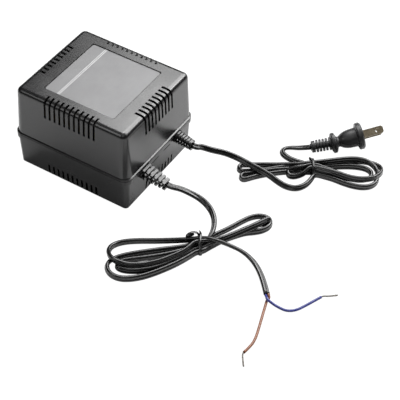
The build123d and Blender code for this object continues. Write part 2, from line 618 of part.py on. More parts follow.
MAINS_FOLDS = [
    (69.0, -143.5), (60.0, -129.0), (50.0, -113.6), (44.0, -103.6), (37.4, -100.4), (31.6, -103.2),
    (28.6, -109.2), (31.2, -114.6), (40.6, -123.6), (52.0, -136.2), (60.4, -146.4), (63.7931, -150.5769),
]
MAINS_LOBES = [
    (63.7931, -150.5769), (69.7287, -159.4813), (68.4, -167.0), (69.0, -178.0), (70.8, -190.4),
    (73.8, -201.6), (81.0, -208.8), (91.6, -211.2), (99.8, -207.6), (104.8, -197.6), (105.6, -184.6),
    (99.6, -171.6), (87.2, -159.4), (80.7122, -152.1693), (78.2715, -148.5083), (79.6, -143.5), (69.0, -143.5),
]
MAINS_EYE = [(81.6, -175.6), (87.6, -181.6), (91.6, -190.6), (90.4, -197.6), (85.6, -197.6), (81.8, -188.0)]
with BuildPart() as mains_cord_hank:
    with BuildSketch(Plane.XY.offset(HANK_Z0)):
        with BuildLine():
            Polyline(*MAINS_LOBES, close=True)
        make_face()
        with BuildLine():
            Polyline(*MAINS_EYE, close=True)
        make_face(mode=Mode.SUBTRACT)
    extrude(amount=9.4)
    with BuildSketch(Plane.XY.offset(HANK_Z0)):
        with BuildLine():
            Polyline(*MAINS_FOLDS, close=True)
        make_face()
    extrude(amount=5.2)
mains_cord_hank.part.label = "mains_cord_hank"
export_step(mains_cord_hank.part, "parts/mains_cord_hank.step")

_h = Vector(*SLEEVE) - _b * 7.0
MAINS_TAIL = [
    (74.2, -143.5, 3.2), (74.2, -138.0, 3.2), (74.9, -131.8, 3.0), (76.8, -126.8, 3.0), (80.7, -123.6, 3.0),
    (85.4, -123.9, 3.0), (88.6, -127.6, 3.2), (88.4, -132.4, 4.0), (_h.X, _h.Y, _h.Z), SLEEVE,
]
with BuildPart() as mains_cord_tail:
    add(lead(MAINS_TAIL, TUBE_D, "mains_cord_tail"))
mains_cord_tail.part.label = "mains_cord_tail"
export_step(mains_cord_tail.part, "parts/mains_cord_tail.step")


# ---------------------------------------------------------------- ties: a flat band round each waist
def band(centre, along, half, top):
    """Closed band of 0.7 mm strip, 2.6 mm wide, round a waist of the given half width."""
    h = (top - 0.1) / 2
    with BuildPart() as ring:
        with BuildSketch(Plane(origin=(centre[0], centre[1], h + 0.1), x_dir=(along[1], -along[0], 0),
                               z_dir=(along[0], along[1], 0))):
            RectangleRounded(2 * half + 1.5, 2 * h, 1.0)
            Rectangle(2 * half + 0.1, 2 * h - 1.5, mode=Mode.SUBTRACT)
        extrude(amount=1.3, both=True)
    return ring.part


with BuildPart() as output_tie:
    add(band((-50.8, -123.2), (0.5547, -0.8321), 6.25, HANK_Z0 + 8.7 + 0.8))
output_tie.part.label = "output_tie"
export_step(output_tie.part, "parts/output_tie.step")

with BuildPart() as mains_tie:
    add(band((74.0, -154.0), (0.5547, -0.8321), 6.6, HANK_Z0 + 9.4 + 0.8))
mains_tie.part.label = "mains_tie"
export_step(mains_tie.part, "parts/mains_tie.step")
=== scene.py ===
"""Electrical transformer: finishes, cords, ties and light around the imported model. Metres, +Z up."""

import math

import bmesh
import bpy
import numpy as np
from mathutils import Matrix, Vector


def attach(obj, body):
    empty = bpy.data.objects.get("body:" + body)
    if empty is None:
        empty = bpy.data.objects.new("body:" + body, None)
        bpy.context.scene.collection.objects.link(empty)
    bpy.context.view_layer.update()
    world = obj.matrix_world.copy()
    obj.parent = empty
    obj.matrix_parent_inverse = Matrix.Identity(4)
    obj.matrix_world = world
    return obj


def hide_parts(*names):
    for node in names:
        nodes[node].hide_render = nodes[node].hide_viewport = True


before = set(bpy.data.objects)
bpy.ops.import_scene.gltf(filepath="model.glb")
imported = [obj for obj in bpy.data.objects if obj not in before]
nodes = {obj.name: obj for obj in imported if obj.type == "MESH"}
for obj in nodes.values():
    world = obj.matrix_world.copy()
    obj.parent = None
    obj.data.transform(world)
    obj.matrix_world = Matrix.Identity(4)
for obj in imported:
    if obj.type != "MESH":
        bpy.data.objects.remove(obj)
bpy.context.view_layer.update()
MM = 0.001

# ---------------------------------------------------------------- camera
cam_data = bpy.data.cameras.new("camera")
cam_data.sensor_width = 36.0
cam_data.lens = 108.0
cam = bpy.data.objects.new("camera", cam_data)
bpy.context.scene.collection.objects.link(cam)
cam_x = Vector((0.52708573, -0.84934500, 0.02817275))
cam_y = Vector((0.59837649, 0.39447197, 0.69737898))
cam_back = Vector((-0.60342871, -0.35072059, 0.71614863))
turn = Matrix((cam_x, cam_y, cam_back)).transposed().to_4x4()
cam.matrix_world = Matrix.Translation((-0.58531755, -0.43237791, 0.68901032)) @ turn
bpy.context.scene.camera = cam


# ---------------------------------------------------------------- node materials
def new_material(name):
    m = bpy.data.materials.new(name)
    m.use_nodes = True
    return m, m.node_tree, m.node_tree.nodes["Principled BSDF"]


def add(nt, kind, **values):
    n = nt.nodes.new(kind)
    for k, v in values.items():
        setattr(n, k, v)
    return n


def coords(nt, scale=(1, 1, 1), rotation=(0, 0, 0)):
    t = add(nt, "ShaderNodeTexCoord")
    m = add(nt, "ShaderNodeMapping")
    m.inputs["Scale"].default_value = scale
    m.inputs["Rotation"].default_value = rotation
    nt.links.new(t.outputs["Object"], m.inputs["Vector"])
    return m.outputs["Vector"]


def noise(nt, vector, scale, detail=3.0, rough=0.55):
    n = add(nt, "ShaderNodeTexNoise")
    n.inputs["Scale"].default_value = scale
    n.inputs["Detail"].default_value = detail
    n.inputs["Roughness"].default_value = rough
    nt.links.new(vector, n.inputs["Vector"])
    return n.outputs["Fac"]


def ramp(nt, factor, stops):
    r = add(nt, "ShaderNodeValToRGB")
    e = r.color_ramp.elements
    while len(e) < len(stops):
        e.new(0.5)
    for i, (at, colour) in enumerate(stops):
        e[i].position = at
        e[i].color = (*colour, 1.0)
    nt.links.new(factor, r.inputs["Fac"])
    return r.outputs["Color"]


def spread_to(nt, factor, low, high, lo_in=0.3, hi_in=0.7):
    r = add(nt, "ShaderNodeMapRange")
    r.inputs["From Min"].default_value = lo_in
    r.inputs["From Max"].default_value = hi_in
    r.inputs["To Min"].default_value = low
    r.inputs["To Max"].default_value = high
    nt.links.new(factor, r.inputs["Value"])
    return r.outputs["Result"]


def bump(nt, height, strength, distance, normal=None):
    b = add(nt, "ShaderNodeBump")
    b.inputs["Strength"].default_value = strength
    b.inputs["Distance"].default_value = distance
    nt.links.new(height, b.inputs["Height"])
    if normal is not None:
        nt.links.new(normal, b.inputs["Normal"])
    return b.outputs["Normal"]


def plastic(name, dark, light, rough, grain_mm, grain_depth_mm, mottle=60.0, specular=0.5):
    """Moulded plastic: a fine even grain, slow drifts of colour and gloss."""
    m, nt, b = new_material(name)
    v = coords(nt)
    slow = noise(nt, v, mottle, 4.0)
    fine = noise(nt, v, 1.0 / (grain_mm * MM), 2.0, 0.6)
    nt.links.new(ramp(nt, slow, [(0.3, dark), (0.7, light)]), b.inputs["Base Color"])
    nt.links.new(spread_to(nt, slow, rough[0], rough[1]), b.inputs["Roughness"])
    nt.links.new(bump(nt, fine, 0.5, grain_depth_mm * MM), b.inputs["Normal"])
    b.inputs["Specular IOR Level"].default_value = specular
    return m


def metal(name, stops, rough, scale=120.0, stretch=(1, 1, 1), metallic=1.0, depth_mm=0.02):
    m, nt, b = new_material(name)
    v = coords(nt, stretch)
    slow = noise(nt, v, scale, 5.0, 0.6)
    fine = noise(nt, v, scale * 9, 3.0)
    nt.links.new(ramp(nt, slow, stops), b.inputs["Base Color"])
    nt.links.new(spread_to(nt, fine, rough[0], rough[1]), b.inputs["Roughness"])
    nt.links.new(bump(nt, fine, 0.4, depth_mm * MM), b.inputs["Normal"])
    b.inputs["Metallic"].default_value = metallic
    return m


MAT = {
    "case": plastic("case_plastic", (0.0060, 0.0060, 0.0062), (0.0085, 0.0085, 0.0088), (0.22, 0.27), 0.30, 0.007),
    # Painted shade: the lower tub is a darker, less glossy copy of the case plastic, standing in for the shade on the
    # lower sides.
    "tub": plastic("tub_plastic_painted_shade", (0.0050, 0.0050, 0.0052), (0.0075, 0.0075, 0.0078), (0.23, 0.28), 0.30, 0.007, 60.0, 0.36),
    "relief": plastic("relief_pvc", (0.0045, 0.0045, 0.0045), (0.007, 0.007, 0.007), (0.24, 0.32), 0.25, 0.008, 200.0),
    "cord": plastic("cord_pvc", (0.0035, 0.0035, 0.0035), (0.006, 0.006, 0.006), (0.20, 0.27), 0.40, 0.008, 150.0),
    "tie": plastic("tie_plastic", (0.0035, 0.0035, 0.0035), (0.006, 0.006, 0.006), (0.24, 0.34), 0.30, 0.01, 300.0),
    "plug": plastic("plug_pvc", (0.008, 0.008, 0.0085), (0.013, 0.013, 0.014), (0.40, 0.50), 0.30, 0.015, 150.0),
    "blue": plastic("blue_pvc", (0.012, 0.017, 0.135), (0.020, 0.027, 0.185), (0.28, 0.38), 0.25, 0.008, 300.0),
    "brown": plastic("brown_pvc", (0.145, 0.047, 0.017), (0.205, 0.072, 0.028), (0.36, 0.48), 0.25, 0.008, 300.0),
    "red": plastic("red_pvc", (0.20, 0.012, 0.010), (0.28, 0.018, 0.014), (0.32, 0.42), 0.25, 0.008, 300.0),
    "yellow": plastic("yellow_pvc", (0.45, 0.30, 0.02), (0.55, 0.38, 0.03), (0.32, 0.42), 0.25, 0.008, 300.0),
    "bobbin": plastic("bobbin_nylon", (0.48, 0.46, 0.40), (0.58, 0.56, 0.50), (0.40, 0.52), 0.30, 0.01, 80.0),
    "tape": plastic("tape_film", (0.52, 0.36, 0.04), (0.64, 0.46, 0.06), (0.22, 0.34), 0.50, 0.02, 120.0),
    "cap": plastic("cap_nylon", (0.62, 0.62, 0.60), (0.72, 0.72, 0.70), (0.30, 0.42), 0.30, 0.01, 150.0),
    "brass": metal("blade_brass", [(0.25, (0.105, 0.086, 0.060)), (0.5, (0.175, 0.147, 0.102)), (0.75, (0.235, 0.205, 0.148))], (0.34, 0.50), 260.0, (1, 1, 1), 0.9),
    "tinned": metal("tinned_copper", [(0.3, (0.10, 0.090, 0.078)), (0.7, (0.22, 0.205, 0.185))], (0.34, 0.48), 700.0),
    "screw": metal("screw_steel", [(0.3, (0.42, 0.42, 0.43)), (0.7, (0.58, 0.58, 0.60))], (0.26, 0.38), 400.0),
    "core": metal("core_steel", [(0.3, (0.20, 0.21, 0.23)), (0.7, (0.34, 0.35, 0.37))], (0.40, 0.55), 40.0, (1, 60, 1)),
    "bracket": metal("bracket_steel", [(0.3, (0.50, 0.50, 0.48)), (0.7, (0.64, 0.64, 0.62))], (0.30, 0.44), 90.0),
    "copper": metal("coil_copper", [(0.3, (0.48, 0.16, 0.06)), (0.7, (0.72, 0.28, 0.12))], (0.22, 0.34), 30.0, (1, 1, 70)),
    "fuse": metal("fuse_steel", [(0.3, (0.55, 0.53, 0.50)), (0.7, (0.68, 0.66, 0.62))], (0.26, 0.38), 300.0),
}


def label_material():
    """Silver film label: satin, faintly brushed, with two thin pale rules across it."""
    m, nt, b = new_material("label_silver")
    v = coords(nt)
    grain = noise(nt, coords(nt, (60, 1400, 1)), 1.0, 3.0)
    slow = noise(nt, v, 45.0, 3.0)
    body = ramp(nt, slow, [(0.3, (0.118, 0.118, 0.120)), (0.7, (0.138, 0.138, 0.140))])
    axis = add(nt, "ShaderNodeSeparateXYZ")
    nt.links.new(v, axis.inputs["Vector"])

    def stripe(centre, half):
        d = add(nt, "ShaderNodeMath", operation="SUBTRACT")
        nt.links.new(axis.outputs["Y"], d.inputs[0])
        d.inputs[1].default_value = centre
        a = add(nt, "ShaderNodeMath", operation="ABSOLUTE")
        nt.links.new(d.outputs["Value"], a.inputs[0])
        s = add(nt, "ShaderNodeMath", operation="LESS_THAN")
        nt.links.new(a.outputs["Value"], s.inputs[0])
        s.inputs[1].default_value = half
        return s.outputs["Value"]

    both = add(nt, "ShaderNodeMath", operation="MAXIMUM")
    nt.links.new(stripe(20.6 * MM, 0.35 * MM), both.inputs[0])
    nt.links.new(stripe(19.2 * MM, 0.35 * MM), both.inputs[1])
    mix = add(nt, "ShaderNodeMix", data_type="RGBA")
    nt.links.new(both.outputs["Value"], mix.inputs["Factor"])
    nt.links.new(body, mix.inputs["A"])
    mix.inputs["B"].default_value = (0.33, 0.33, 0.33, 1)
    nt.links.new(mix.outputs["Result"], b.inputs["Base Color"])
    nt.links.new(spread_to(nt, grain, 0.42, 0.52), b.inputs["Roughness"])
    nt.links.new(bump(nt, grain, 0.25, 0.004 * MM), b.inputs["Normal"])
    b.inputs["Metallic"].default_value = 0.3
    return m


MAT["label"] = label_material()

FINISH = {
    "upper_case": "case", "lower_case": "tub", "rating_label": "label", "case_screws": "screw",
    "core_e_stack": "core", "core_i_stack": "core", "core_bracket": "bracket", "bracket_screws": "screw",
    "bobbin": "bobbin", "primary_winding": "copper", "secondary_winding": "copper",
    "primary_tape": "tape", "secondary_tape": "tape", "thermal_fuse": "fuse",
    "mains_splices": "cap", "output_splices": "cap", "mains_inner_wires": "brown", "output_inner_wires": "blue",
    "primary_leads": "red", "secondary_leads": "yellow", "output_strain_relief": "relief",
    "mains_strain_relief": "relief", "plug_body": "plug", "plug_blades": "brass",
}
for node_name, o in nodes.items():
    finish = MAT[FINISH.get(node_name, "cord")]
    if o.material_slots:
        for s in o.material_slots:
            s.material = finish
    else:
        o.data.materials.append(finish)


# ---------------------------------------------------------------- mesh helpers
def link(name, mesh, mat):
    o = bpy.data.objects.new(name, mesh)
    bpy.context.scene.collection.objects.link(o)
    o.data.materials.append(mat)
    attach(o, "root")
    return o


def nurbs(name, points, resolution):
    """One open NURBS spline through the route's control points."""
    c = bpy.data.curves.new(name, "CURVE")
    c.dimensions = "3D"
    c.resolution_u = resolution
    s = c.splines.new("NURBS")
    s.points.add(len(points) - 1)
    for p, q in zip(s.points, points):
        p.co = (q[0] * MM, q[1] * MM, q[2] * MM, 1.0)
    s.order_u = 3
    s.use_endpoint_u = True
    return c


def line_of(points, resolution):
    """The points of the route's spline, as an unbevelled curve gives them."""
    c = nurbs("route", points, resolution)
    o = bpy.data.objects.new("route", c)
    mesh = bpy.data.meshes.new_from_object(o)
    line = np.array([v.co for v in mesh.vertices], float).reshape(-1, 3)
    bpy.data.meshes.remove(mesh)
    bpy.data.objects.remove(o)
    bpy.data.curves.remove(c)
    return line


def along(points, values, count):
    """Values given at the route's control points, eased along its line."""
    n = len(points)
    at = np.concatenate([[0.0], np.arange(n - 2) + 0.5, [n - 2.0]])
    v = np.interp(np.linspace(0, n - 2, count), at, values)
    k = np.hanning(15)
    k /= k.sum()
    return np.convolve(np.pad(v, 7, mode="edge"), k, mode="valid")


def tangents(line):
    t = np.gradient(line, axis=0)
    return t / np.linalg.norm(t, axis=1)[:, None]


def rings_to_mesh(name, rings, closed_ends=True):
    count, per = rings.shape[:2]
    verts = rings.reshape(-1, 3)
    faces = []
    for i in range(count - 1):
        a, b = i * per, (i + 1) * per
        for j in range(per):
            k = (j + 1) % per
            faces.append((a + j, a + k, b + k, b + j))
    if closed_ends:
        faces.append(tuple(range(per - 1, -1, -1)))
        faces.append(tuple((count - 1) * per + j for j in range(per)))
    mesh = bpy.data.meshes.new(name)
    mesh.from_pydata([tuple(v) for v in verts], [], faces)
    mesh.update()
    smooth = np.ones(len(mesh.polygons), bool)
    if closed_ends:
        smooth[-2:] = False
    mesh.polygons.foreach_set("use_smooth", smooth)
    return mesh


def twin_section(width, thick, per_side=11, web=0.88):
    """Section of a flat two-core jacket: two round cores side by side, joined by a web a little thinner than they are."""
    r = thick / 2
    c = width / 2 - r
    half = web * r
    out = []
    for k in range(per_side * 2):
        a = math.pi * (k + 0.5) / (per_side * 2) - math.pi / 2
        out.append((c + r * math.cos(a), r * math.sin(a)))
    for x in (0.80, 0.55, 0.32, 0.12, -0.12, -0.32, -0.55, -0.80):
        x *= c
        lobe = math.sqrt(r * r - (abs(x) - c) ** 2)
        dip = math.exp(-((x / (0.36 * c)) ** 2))
        out.append((x, lobe + (half - lobe) * dip if lobe > half else half + (lobe - half) * 0.15))
    right = np.array(out)
    return np.concatenate([right, -right])


def flat_tube(name, line, turn_deg, section):
    t = tangents(line)
    side = np.cross([0, 0, 1.0], t)
    side /= np.linalg.norm(side, axis=1)[:, None]
    up = np.cross(t, side)
    a = np.radians(turn_deg)[:, None]
    wide = np.cos(a) * side + np.sin(a) * up
    thin = -np.sin(a) * side + np.cos(a) * up
    rings = line[:, None, :] + section[None, :, 0:1] * wide[:, None, :] + section[None, :, 1:2] * thin[:, None, :]
    return rings_to_mesh(name, rings)


def round_tube(line, radius, per=12):
    """Rings of a round tube along a line, with its frame carried along."""
    t = tangents(line)
    n = np.cross(t[0], [0.3, 0.2, 1.0])
    n /= np.linalg.norm(n)
    rings = []
    ang = np.linspace(0, 2 * math.pi, per, endpoint=False)
    for p, d in zip(line, t):
        n = n - (n @ d) * d
        n /= np.linalg.norm(n)
        b = np.cross(d, n)
        rings.append(p + radius * (np.cos(ang)[:, None] * n + np.sin(ang)[:, None] * b))
    return np.array(rings)


def join(name, ring_sets):
    parts = [rings_to_mesh(name, r) for r in ring_sets]
    bm = bmesh.new()
    for p in parts:
        bm.from_mesh(p)
        bpy.data.meshes.remove(p)
    mesh = bpy.data.meshes.new(name)
    bm.to_mesh(mesh)
    bm.free()
    return mesh


# ---------------------------------------------------------------- cords
# Route points: x, y, z in millimetres, and how far the wide side is turned up from lying flat, in degrees.
OUTPUT_ROUTE = [
    (-22.5, -74.8, 21.12, 0), (-22.4, -78.6, 20.70, 0), (-18.5, -84.4, 18.70, 0), (-15.5, -91.8, 15.40, 8),
    (-12.8, -100.0, 11.40, 28), (-14.1, -108.8, 8.40, 46), (-19.4, -116.6, 6.80, 58), (-27.4, -122.0, 6.40, 60),
    (-35.9, -124.9, 6.40, 54), (-43.1, -124.9, 5.00, 64), (-47.3, -123.0, 3.60, 84), (-51.2, -119.9, 3.10, 90),
    (-55.7, -117.4, 2.90, 90), (-64.9, -110.6, 2.73, 90), (-74.5, -102.2, 2.73, 90), (-82.5, -93.8, 2.73, 88),
    (-89.6, -85.8, 2.73, 88), (-94.4, -81.1, 2.73, 88), (-98.7, -79.3, 2.72, 84), (-101.8, -81.1, 2.71, 80),
    (-102.0, -85.6, 2.70, 76), (-99.2, -92.2, 2.69, 74), (-92.9, -100.7, 2.69, 74), (-83.8, -108.3, 2.70, 76),
    (-72.2, -114.3, 2.72, 82), (-60.8, -118.8, 2.80, 90), (-53.8, -121.6, 3.00, 90), (-50.5, -125.4, 3.20, 90),
    (-46.7, -128.5, 5.00, 90), (-41.9, -132.3, 6.00, 88), (-34.4, -135.9, 5.00, 84), (-25.7, -139.8, 3.40, 80),
    (-18.0, -144.4, 2.70, 76), (-13.5, -149.9, 2.69, 74), (-8.8, -154.4, 2.70, 76), (-2.6, -157.2, 2.71, 80),
    (3.2, -155.9, 2.72, 84), (5.8, -151.3, 2.72, 84), (4.2, -145.2, 2.73, 86), (-1.1, -140.0, 2.73, 88),
    (-7.9, -136.7, 2.73, 90), (-16.5, -133.5, 2.73, 90), (-24.6, -130.2, 2.73, 90), (-31.6, -126.6, 2.73, 90),
    (-39.9, -123.5, 2.73, 90), (-45.6, -122.7, 3.10, 90), (-49.0, -118.4, 3.00, 90), (-54.4, -114.8, 2.73, 90),
    (-61.5, -107.5, 2.73, 90), (-69.4, -98.9, 2.73, 90), (-77.4, -90.4, 2.73, 90), (-85.1, -82.7, 2.73, 88),
    (-91.9, -76.8, 2.71, 80), (-97.9, -73.2, 2.63, 66), (-103.5, -73.0, 2.66, 70), (-108.6, -77.0, 2.71, 80),
    (-110.8, -82.9, 2.72, 82), (-109.9, -89.6, 2.70, 76), (-105.9, -95.9, 2.67, 72), (-100.0, -101.9, 2.66, 70),
    (-92.1, -107.4, 2.66, 70), (-83.2, -112.4, 2.67, 72), (-73.7, -117.1, 2.70, 76), (-63.9, -120.8, 2.72, 84),
    (-56.3, -123.3, 3.00, 90), (-52.9, -127.0, 3.00, 90), (-47.5, -128.6, 2.73, 90), (-38.5, -132.2, 2.73, 90),
    (-28.1, -136.3, 2.73, 90), (-18.0, -140.8, 2.73, 90), (-9.2, -145.6, 2.73, 90), (-3.5, -149.5, 2.73, 88),
    (-0.8, -153.2, 3.40, 86), (1.7, -155.0, 4.80, 88), (2.3, -153.6, 6.00, 98), (-2.6, -152.3, 6.80, 112),
    (-10.0, -149.3, 7.00, 124), (-19.1, -144.7, 7.00, 126), (-29.6, -139.2, 7.00, 124), (-38.5, -133.8, 7.00, 112),
    (-45.3, -126.8, 7.30, 90), (-49.1, -122.1, 7.50, 90), (-52.8, -118.5, 7.30, 90), (-61.8, -117.5, 6.60, 98),
    (-70.5, -113.2, 6.20, 106), (-80.1, -107.7, 5.90, 110), (-87.7, -101.8, 5.80, 112), (-94.0, -95.1, 5.80, 112),
    (-98.6, -87.4, 6.20, 108), (-100.2, -79.9, 6.80, 98), (-99.1, -73.2, 6.80, 86), (-94.8, -68.2, 5.60, 80),
    (-88.1, -66.1, 4.00, 84), (-81.4, -68.1, 2.90, 88), (-75.5, -73.4, 2.73, 90), (-69.5, -81.4, 2.73, 90),
    (-63.6, -91.4, 3.20, 90), (-57.6, -102.2, 4.60, 90), (-52.5, -111.7, 6.20, 90), (-48.9, -117.2, 7.30, 90),
    (-46.2, -121.3, 7.70, 88), (-43.7, -126.3, 8.50, 103), (-42.5, -132.0, 9.10, 117), (-41.2, -138.4, 9.00, 125),
    (-39.9, -145.3, 7.60, 129), (-38.1, -152.7, 5.60, 132), (-38.8, -161.1, 3.60, 136), (-42.5, -169.1, 2.50, 140),
    (-48.7, -176.7, 2.30, 144), (-55.9, -183.6, 2.30, 147), (-62.7, -189.4, 2.45, 150),
]
MAINS_ROUTE = [
    (24.6, -69.0, 23.44, 12), (24.8, -72.6, 23.20, 28), (28.9, -74.3, 21.60, 46), (33.2, -82.3, 18.40, 50),
    (39.5, -90.5, 15.00, 48), (43.6, -100.7, 11.20, 42), (44.9, -111.0, 8.60, 44), (44.7, -121.5, 7.80, 46),
    (45.4, -130.3, 5.60, 46), (44.6, -138.4, 3.40, 46), (44.3, -146.9, 2.37, 50), (47.0, -154.7, 2.44, 56),
    (54.3, -159.0, 2.52, 64), (62.7, -159.7, 2.60, 76), (69.3, -158.9, 3.00, 88), (71.5, -165.9, 2.62, 84),
    (73.2, -174.3, 2.61, 78), (73.5, -183.3, 2.59, 74), (75.0, -192.6, 2.58, 72), (78.6, -200.8, 2.60, 76),
    (84.2, -205.2, 2.62, 84), (90.6, -205.7, 2.62, 84), (95.7, -203.5, 3.40, 80), (99.7, -200.5, 5.60, 80),
    (102.4, -194.2, 6.90, 88), (102.5, -187.4, 7.10, 98), (99.6, -180.5, 7.10, 106), (94.6, -173.8, 7.20, 108),
    (87.4, -166.3, 7.40, 106), (80.9, -159.5, 7.60, 98), (77.2, -155.4, 7.70, 90), (73.7, -150.6, 7.40, 90),
    (70.2, -145.8, 6.40, 90), (67.1, -139.2, 5.00, 90), (62.8, -130.4, 3.40, 90), (57.8, -121.1, 2.63, 90),
    (51.8, -112.2, 2.63, 90), (48.2, -106.6, 2.63, 88), (45.8, -103.1, 2.63, 86), (41.3, -102.9, 2.62, 84),
    (39.0, -106.7, 2.63, 86), (41.5, -110.5, 2.63, 88), (45.6, -115.7, 2.63, 90), (52.1, -123.4, 2.63, 90),
    (58.5, -129.2, 2.63, 90), (64.8, -136.0, 2.63, 90), (70.0, -144.4, 2.80, 90), (72.2, -150.4, 3.00, 90),
    (75.4, -155.4, 3.10, 90), (80.3, -161.3, 2.80, 84), (86.9, -169.1, 2.59, 74), (92.8, -177.2, 2.58, 72),
    (97.2, -185.1, 2.59, 74), (98.9, -192.6, 2.61, 80), (96.8, -198.1, 2.63, 86), (90.8, -199.6, 2.63, 86),
    (85.3, -195.6, 2.63, 88), (81.2, -187.7, 2.63, 90), (79.5, -178.4, 2.63, 90), (78.3, -168.9, 2.63, 90),
    (76.0, -161.7, 2.90, 90), (73.4, -156.8, 3.10, 90), (70.1, -151.8, 3.00, 90), (67.1, -145.1, 2.63, 90),
    (62.4, -137.3, 2.63, 90), (56.2, -129.5, 2.63, 90), (49.0, -122.3, 2.63, 90), (42.3, -115.7, 2.63, 88),
    (39.1, -112.3, 2.63, 86), (36.9, -109.6, 2.62, 84), (33.2, -109.9, 2.62, 84), (31.7, -113.2, 2.63, 86),
    (34.8, -116.0, 2.63, 88), (39.6, -119.2, 2.63, 88), (45.7, -124.2, 2.63, 90), (53.0, -131.3, 2.63, 90),
    (59.7, -138.9, 2.63, 90), (64.9, -147.2, 2.80, 90), (68.1, -153.1, 3.00, 90), (71.4, -158.1, 3.00, 90),
    (74.1, -163.7, 2.70, 88), (75.7, -171.1, 2.70, 82), (76.5, -177.5, 3.20, 72), (77.0, -181.7, 4.40, 66),
    (78.3, -181.9, 5.90, 70), (77.2, -177.6, 7.00, 80), (75.5, -170.7, 7.40, 88), (73.4, -162.5, 7.70, 90),
    (71.9, -157.8, 7.70, 90), (69.1, -153.7, 7.40, 84), (64.0, -152.8, 5.80, 104), (60.3, -150.1, 4.40, 112),
    (57.2, -146.5, 3.20, 112), (56.2, -142.2, 2.80, 102), (59.2, -139.4, 3.40, 86), (62.2, -141.0, 5.00, 74),
    (64.9, -145.9, 6.60, 66), (68.2, -150.5, 7.50, 70), (71.9, -153.0, 7.70, 86), (74.7, -157.1, 7.70, 90),
    (75.3, -162.5, 7.50, 74), (76.1, -170.4, 7.30, 64), (76.8, -179.2, 7.00, 62), (78.1, -187.7, 6.80, 66),
    (81.7, -195.9, 6.70, 72), (87.3, -202.2, 6.60, 80), (94.8, -205.0, 5.60, 84), (102.9, -204.4, 4.00, 82),
    (107.5, -199.6, 2.90, 84), (107.3, -192.1, 2.63, 86), (104.5, -184.2, 2.63, 90), (99.7, -176.5, 2.63, 90),
    (93.2, -168.6, 2.63, 90), (85.7, -161.3, 2.70, 90), (78.0, -154.9, 3.10, 90), (75.0, -149.7, 3.00, 90),
    (75.9, -145.6, 2.80, 94), (74.7, -139.6, 2.61, 102), (74.4, -133.0, 2.56, 110), (75.7, -126.8, 2.52, 116),
    (78.8, -123.2, 2.46, 122), (83.4, -123.3, 2.40, 134), (87.1, -127.5, 2.50, 150), (89.7, -133.3, 3.00, 164),
    (92.2, -138.4, 4.20, 174), (93.7, -142.2, 5.45, 180),
]
CORDS = {}
for cord_name, route, width, thick in (
    ("output_cord", OUTPUT_ROUTE, 5.4, 3.1),
    ("mains_cord", MAINS_ROUTE, 5.2, 3.0),
):
    line = line_of(route, 7)
    turned = along(route, [p[3] for p in route], len(line))
    mesh = flat_tube(cord_name, line, turned, twin_section(width * MM, thick * MM))
    o = link(cord_name, mesh, MAT["cord"])
    CORDS[cord_name] = (o, line, width * MM)

# ---------------------------------------------------------------- blue and brown cores, with stripped ends
BLUE = [(-63.488, -188.632, 2.6), (-64.395, -189.563, 2.6), (-65.9, -191, 3.3), (-67.5, -192, 3.75), (-68, -197.4, 2.2), (-67.8, -202.3, 1.2),
        (-67.6, -208.8, 1.15), (-63.2, -214.5, 1.15), (-54.8, -218.5, 1.15), (-47.4, -221.6, 1.15), (-41.7, -224.1, 1.15)]
BLUE_END = [(-41.7, -224.1, 1.15), (-39.87, -224.9, 1.15), (-38, -228.7, 1.15), (-33.3, -233.8, 1.15)]
BROWN = [(-61.912, -190.168, 2.6), (-62.82, -191.1, 2.6), (-64.2, -192.3, 1.7), (-66.2, -191.6, 1.15), (-72, -193.4, 1.15), (-80, -195.8, 1.15),
         (-90.2, -199, 1.15), (-102.1, -202.5, 1.15), (-109.7, -203, 1.15), (-117.5, -201.6, 1.15)]
BROWN_END = [(-117.5, -201.6, 1.15), (-118.78, -201.37, 1.15), (-122.6, -203.7, 1.15), (-128.3, -207.8, 1.15)]


def strands(name, points, turns):
    """Seven tinned strands: one straight, six laid round it, a little loose at the tip."""
    line = line_of(points, 14)
    t = tangents(line)
    up = np.array([0, 0, 1.0])
    side = np.cross(up, t)
    side /= np.linalg.norm(side, axis=1)[:, None]
    top = np.cross(t, side)
    s = np.linspace(0, 1, len(line))
    sets = [round_tube(line, 0.20 * MM, 8)]
    for k in range(6):
        a = 2 * math.pi * (k / 6 + turns * s)
        r = (0.38 + 0.10 * s * s * (1 + 0.5 * math.sin(2.1 * k))) * MM
        path = line + r[:, None] * (np.cos(a)[:, None] * side + np.sin(a)[:, None] * top)
        cut = len(path) - int(3 * (0.5 + 0.5 * math.sin(3.7 * k)))
        sets.append(round_tube(path[:cut], 0.19 * MM, 8))
    return link(name, join(name, sets), MAT["tinned"])


for wire_name, route, end, mat, slot, turns in (
    ("blue_wire", BLUE, BLUE_END, "blue", "wire_blue", 2.6),
    ("brown_wire", BROWN, BROWN_END, "brown", "wire_brown", 2.2),
):
    line = line_of(route, 10)
    mesh = rings_to_mesh(wire_name, round_tube(line, 1.05 * MM, 18))
    o = link(wire_name + "_core", mesh, MAT[mat])
    e = strands(wire_name + "_strands", end, turns)
    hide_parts(wire_name)
    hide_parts(wire_name + "_end")


# ---------------------------------------------------------------- twist ties
ALONG = np.array([0.5547, -0.8321, 0.0])
ACROSS = np.array([0.8321, 0.5547, 0.0])
OUTPUT_TIE_AT = np.array([-50.8, -123.2, 0.0])
MAINS_TIE_AT = np.array([74.0, -154.0, 0.0])


